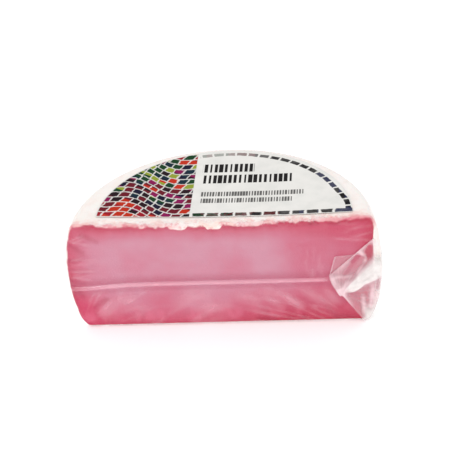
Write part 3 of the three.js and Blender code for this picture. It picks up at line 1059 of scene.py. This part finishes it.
def film_finish(name, folded):
    """Clear film: see-through with a gloss, and milky where its haze says so. Folded film has less gloss."""
    gloss_roughness = 0.2 if folded else 0.13
    gloss_share = 0.6 if folded else 1
    see_through = (1, 1, 1, 1) if folded else (0.99, 0.975, 0.98, 1)
    tint_colour = tone(240, 192, 204) if folded else tone(255, 192, 208)
    tint_share = 0.6 if folded else 1
    dust = 0 if folded else 0.012
    f = Finish(name)
    place = f.place()
    haze = f.attribute("haze")
    ripple = f.grain(place, 0.06, 3) * 1.5 + f.grain(place, 0.3, 3) * 0.35
    bump = f.bump(ripple, 0.5, 0.5)
    clear = f.node("BsdfTransparent", inputs={"Color": see_through})
    gloss_inputs = {"Color": (1, 1, 1, 1), "Roughness": gloss_roughness, "Normal": bump}
    gloss = f.node("BsdfAnisotropic", inputs=gloss_inputs)
    facing = f.node("LayerWeight", inputs={"Blend": 0.5, "Normal": bump}, output="Facing")
    shine = ((facing**5 * 0.9 + 0.025) * gloss_share).least(0.3)
    if folded:
        shine = shine * haze.between(0, 0.04)
    clear_film = f.node("MixShader", inputs={0: shine, 1: clear, 2: gloss})
    over_cut = (f.split(place)[1] - CUT_Y).between(4, 1)
    tinted = (1 - f.attribute("whiteness")) * over_cut * tint_share  # by the paste close under the film
    milk = f.node(
        "BsdfPrincipled",
        inputs={
            "Base Color": f.blend(tone(238, 232, 230), tint_colour, tinted),
            "Roughness": f.grain(place, 0.5, 3) * 0.2 + 0.3,
            "Normal": bump,
        },
    )
    veil = (haze * (f.grain(place, 0.25, 4) * 0.6 + 0.72) + dust).clamped()
    return f.surface(f.node("MixShader", inputs={0: veil, 1: clear_film, 2: milk}))


# Colours of the tiles: where each starts in the range of choices, and the colour.
TILE_COLOURS = (
    (0.0, tone(190, 46, 24)),
    (0.13, tone(150, 20, 36)),
    (0.27, tone(184, 42, 18)),
    (0.4, tone(104, 18, 34)),
    (0.52, tone(34, 12, 22)),
    (0.6, tone(132, 16, 80)),
    (0.68, tone(18, 16, 44)),
    (0.75, tone(12, 40, 54)),
    (0.81, tone(16, 60, 30)),
    (0.89, tone(142, 154, 52)),
)
BORDER_COLOURS = (
    (0.0, tone(14, 50, 26)),
    (0.3, tone(84, 26, 30)),
    (0.48, tone(18, 14, 18)),
    (0.75, tone(22, 28, 66)),
    (0.92, tone(74, 72, 52)),
)


def printed_place(f):
    """The place on the label, in millimetres from the middle of its straight edge."""
    turn = Matrix.Rotation(-LABEL_TURN, 3, "Z")
    centre = Vector((LABEL_CENTRE[0], LABEL_CENTRE[1] + CUT_Y, 0))
    inputs = {
        "Vector": f.node("TexCoord", output="Object"),
        "Location": -(turn @ centre),
        "Rotation": (0, 0, -LABEL_TURN),
        "Scale": (1 / MM, 1 / MM, 1 / MM),
    }
    return f.node("Mapping", {"vector_type": "POINT"}, inputs)


def tile_courses(f, x, y, radius, wobble):
    """Courses of broken tiles that run in waves over the left third: where they are, and their colour."""
    course_place = (y + x * 0.42 + (x * 0.13).sine() * 4 + wobble * 2) / COURSE_HEIGHT
    course = course_place.whole()
    along = (x * 0.92 - y * 0.38 + wobble * 2.5) / TILE_LENGTH + f.chance(course, 3.7)
    inside = x.between(*PRINT_EDGE) * radius.between(LABEL_RADIUS - 0.4, LABEL_RADIUS - 0.9)
    share = course_place.cell(COURSE_GAP) * along.cell(TILE_GAP) * inside * y.between(0.4, 0.8)
    drift = (x + 80) * 0.004 + y * 0.007 - 0.07
    choice = drift + f.chance(course, 11.9) * 0.3 + f.chance(course, along.whole(), 1.3) * 0.45
    return share, f.pick(TILE_COLOURS, choice.part())


def tile_border(f, printed, radius, wobble):
    """A worn border of dark tiles along the arc and the straight edge: where it is, and its colour."""
    x, y, _ = f.split(printed)
    angle = f.node("Math", {"operation": "ARCTAN2"}, {0: y, 1: x})
    arc_place = angle * (LABEL_RADIUS / BORDER_ARC_PITCH) + wobble * 0.2
    inward = angle.between(0.12, 0.42) * 2.4 + 0.4  # the margin of bare paper is narrower at the right end
    arc = (radius + wobble * 1.2 + inward).band(*BORDER_ARC) * arc_place.cell(BORDER_GAP)
    straight_place = (x - BORDER_START) / BORDER_STRAIGHT_PITCH + wobble * 0.3
    straight = (y + wobble * 1.2).band(*BORDER_STRAIGHT) * straight_place.cell(BORDER_GAP)
    worn = (f.grain(printed, 0.12, 3) * 0.4 + 0.76 - x.between(35, -5) * y.between(50, 70) * 0.4).clamped()
    share = arc.most(straight) * x.between(-20, -19.6) * worn
    seed = f.chance(arc_place.whole(), straight_place.whole() * y.between(6, 5.9), 4.4)
    return share, f.pick(BORDER_COLOURS, ((x + 20) / 140 + seed * 0.35).part())


def ribbed_bar(f, x, y, sides_x, sides_y, pitch, seed, darkness):
    """A bar made of upright ribs of uneven width: 1 on its ribs."""
    rib = x / pitch
    width = f.chance(rib.whole(), seed) * 0.28 + 0.17
    ribs = (rib.part() - 0.5).size().between(width + 0.04, width - 0.04)
    return x.band(*sides_x) * y.band(*sides_y) * ribs * darkness


def label_finish():
    """Off-white paper printed with courses of small broken tiles, a border of dark tiles and ribbed bars."""
    f = Finish("printed_paper")
    printed = printed_place(f)
    x, y, _ = f.split(printed)
    wobble = f.grain(printed, 0.3, 2) - 0.5
    radius = (x * x + y * y) ** 0.5
    courses, course_colour = tile_courses(f, x, y, radius, wobble)
    border, border_colour = tile_border(f, printed, radius, wobble)
    bars = [ribbed_bar(f, x, y, *bar) for bar in BARS]
    ink = bars[0]
    for bar in bars[1:]:
        ink = ink.most(bar)
    grout = x.between(*PRINT_EDGE) * radius.between(LABEL_RADIUS - 0.2, LABEL_RADIUS - 0.7) * 0.16
    paper = f.blend(tone(231, 229, 225), tone(222, 221, 217), f.grain(printed, 0.08, 3).between(0.35, 0.7))
    colour = f.layers(
        paper,
        (course_colour, grout.most(courses)),
        (border_colour, border),
        (tone(24, 21, 22), ink),
    )
    fibres = f.grain(printed, 2.2, 3, stretch=(1, 2.5, 1))
    printed_over = courses.most(border).most(ink)
    shader = f.node(
        "BsdfPrincipled",
        inputs={
            "Base Color": colour,
            "Roughness": f.grain(printed, 0.8, 3) * 0.12 + 0.5 - printed_over * 0.08,
            "Specular IOR Level": 0.05,
            "Normal": f.bump(fibres + printed_over * 0.4, 0.04, 0.5),
        },
    )
    return f.surface(shader)


def floor_finish():
    """Plain and almost white, with a faint glow so that it stays as pale as the light."""
    f = Finish("studio_floor")
    place = f.place()
    shade = f.blend(tone(254, 254, 254), tone(252, 252, 252), f.grain(place, 0.01, 2))
    inputs = {
        "Base Color": shade,
        "Roughness": 0.7,
        "Emission Color": (1, 1, 1, 1),
        "Emission Strength": FLOOR_GLOW,
        "Normal": f.bump(f.grain(place, 0.4, 2), 0.05, 0.3),
    }
    return f.surface(f.node("BsdfPrincipled", inputs=inputs))


def dress(piece, material, node):
    """Gives a piece its material and its place in the frame, where it stands for a node of the CAD."""
    piece.data.materials.append(material)
    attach(piece, "root")
    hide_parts(node)


# ---- the object ----

cheese = cheese_body()
dress(cheese, cheese_finish(), "wrapped_half_wheel")
film = film_shell()
dress(film, film_finish("clear_film", folded=False), "wrapped_half_wheel")
folds = ear_folds()
layer = ear_layer()
ear_film = film_finish("folded_film", folded=True)
dress(folds, ear_film, "wrapped_half_wheel")
dress(layer, ear_film, "wrapped_half_wheel")
label = paper_label()
dress(label, label_finish(), "label")


# ---- the studio ----


def soft_box(name, azimuth, elevation, distance, size, power):
    """A square lamp that faces the object from a direction."""
    away = direction(math.radians(azimuth), math.radians(elevation))
    lamp = bpy.data.lights.new(name, "AREA")
    lamp.size = size
    lamp.energy = power
    holder = bpy.data.objects.new(name, lamp)
    bpy.context.scene.collection.objects.link(holder)
    holder.location = LAMP_TARGET + away * distance
    holder.rotation_euler = away.to_track_quat("Z", "Y").to_euler()


def studio():
    """A pale floor under soft white light."""
    bpy.ops.object.select_all(action="DESELECT")
    bpy.ops.mesh.primitive_plane_add(size=FLOOR_SIZE)
    floor = bpy.context.object
    floor.name = floor.data.name = "floor"
    floor.data.materials.append(floor_finish())
    world = bpy.data.worlds.new("studio")
    world.use_nodes = True
    background = world.node_tree.nodes["Background"]
    background.inputs["Color"].default_value = (1, 1, 1, 1)
    background.inputs["Strength"].default_value = SKY_STRENGTH
    bpy.context.scene.world = world
    bpy.context.scene.view_settings.view_transform = "Standard"
    for lamp in LAMPS:
        soft_box(*lamp)


def photo_camera():
    """A camera where the photograph was taken from."""
    away = direction(CAMERA_AZIMUTH, CAMERA_ELEVATION)
    right = (-away).cross(Vector((0, 0, 1))).normalized()
    up = right.cross(-away)
    rolled_right = math.cos(CAMERA_ROLL) * right + math.sin(CAMERA_ROLL) * up
    rolled_up = -math.sin(CAMERA_ROLL) * right + math.cos(CAMERA_ROLL) * up
    lens = bpy.data.cameras.new("photo_camera")
    lens.sensor_width = SENSOR_WIDTH
    lens.lens = FOCAL_PIXELS / PHOTO_PIXELS * SENSOR_WIDTH
    lens.clip_start = CLIP_START
    lens.clip_end = CLIP_END
    camera = bpy.data.objects.new("photo_camera", lens)
    bpy.context.scene.collection.objects.link(camera)
    turn = Matrix((rolled_right, rolled_up, away)).transposed().to_4x4()
    stand = to_frame(*CAMERA_TARGET) + away * CAMERA_DISTANCE * MM
    camera.matrix_world = Matrix.Translation(stand) @ turn
    bpy.context.scene.camera = camera


studio()
photo_camera()
